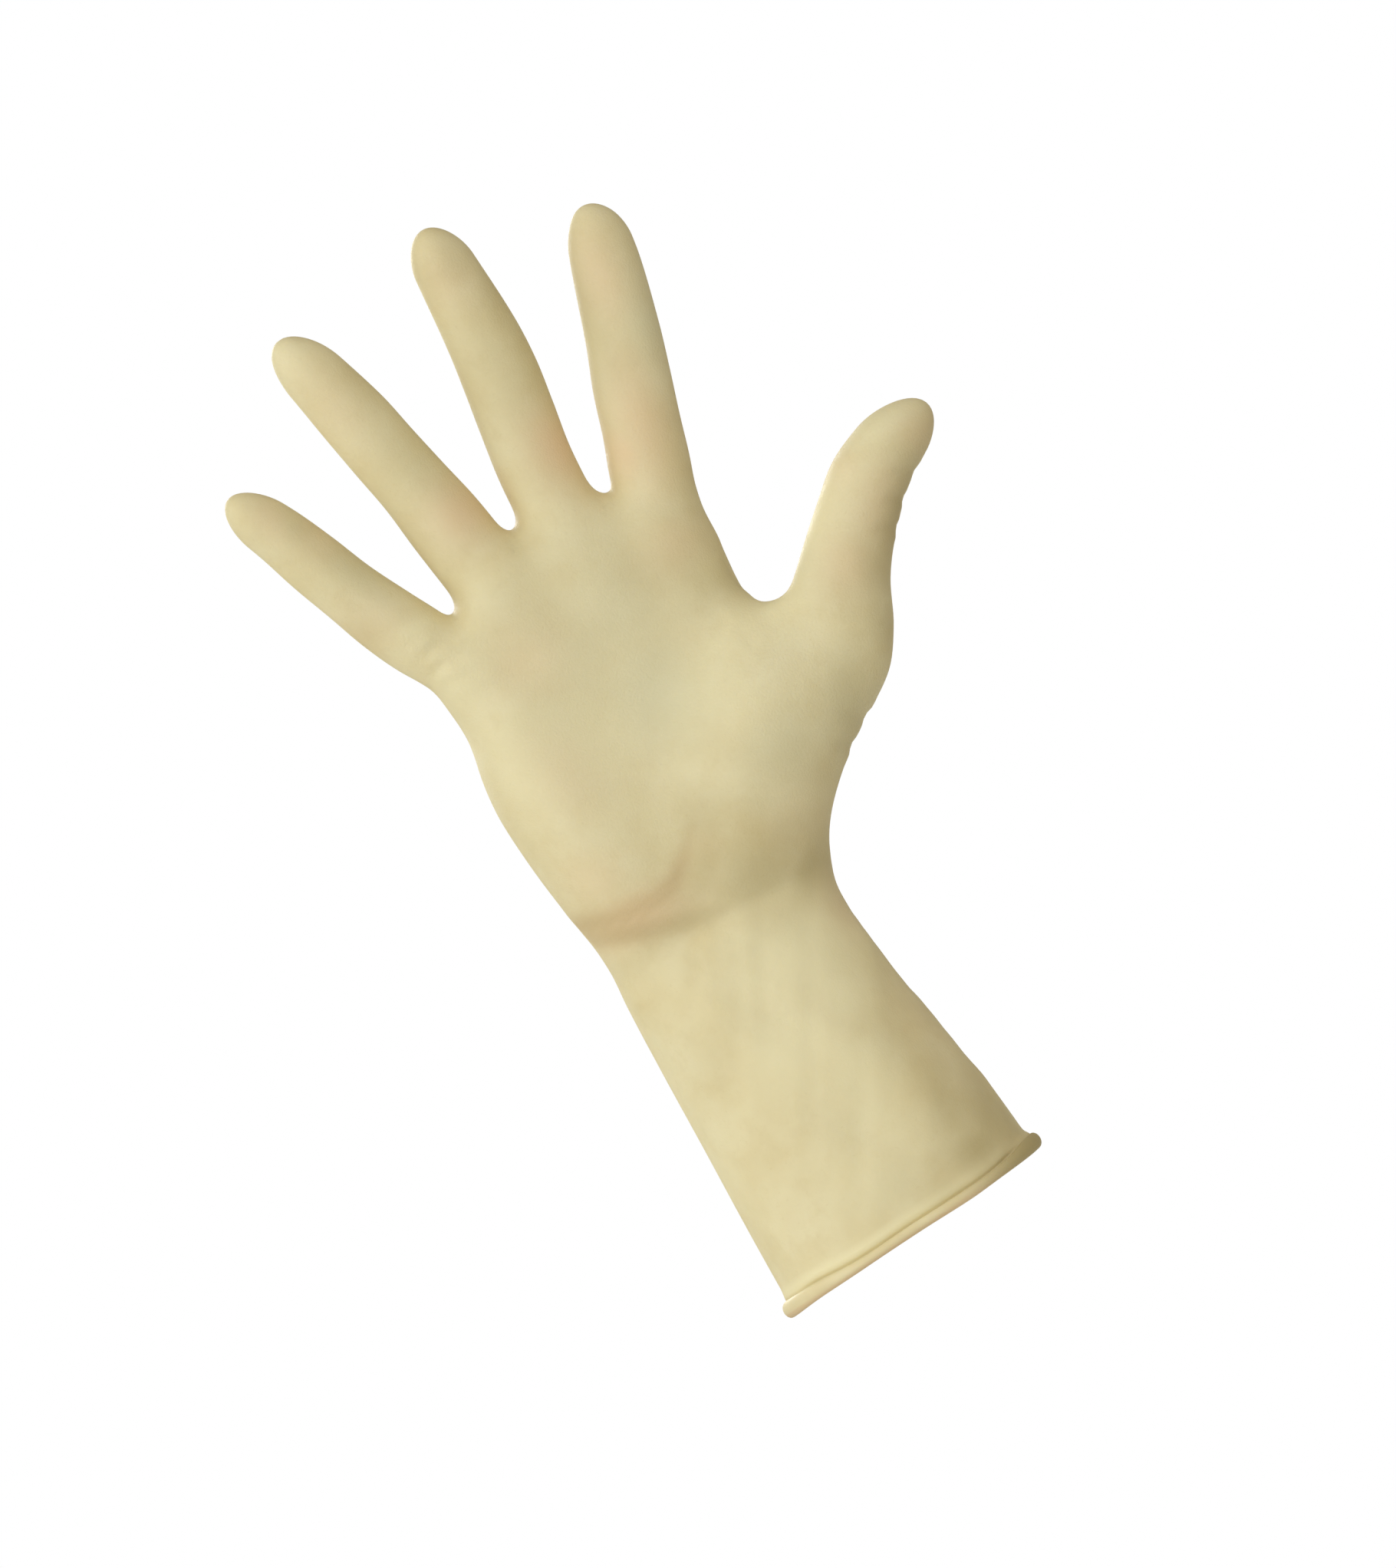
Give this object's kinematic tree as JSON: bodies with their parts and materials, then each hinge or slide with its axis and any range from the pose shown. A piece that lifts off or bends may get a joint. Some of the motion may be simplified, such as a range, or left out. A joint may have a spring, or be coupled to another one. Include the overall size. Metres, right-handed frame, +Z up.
{
  "type": "surgical glove",
  "caption": "Thin latex surgeon's glove for the right hand in its worn shape: spread fingers, thumb out to the side, long cuff with a rolled bead round its opening.",
  "frame": {"origin": "middle of the hand's opening, in the plane of the cuff's bead", "axes": "+Z up the cuff towards the fingertips, +X towards the thumb's side, palm facing -Y"},
  "size_m": [0.1687, 0.0676, 0.2892],
  "materials": {
    "latex": "soft matt natural latex, slightly see-through",
    "latex_bead": "soft matt natural latex, rolled up"
  },
  "bodies": {
    "root": {"glove_film": "latex", "cuff_bead": "latex_bead"}
  },
  "joints": []
}
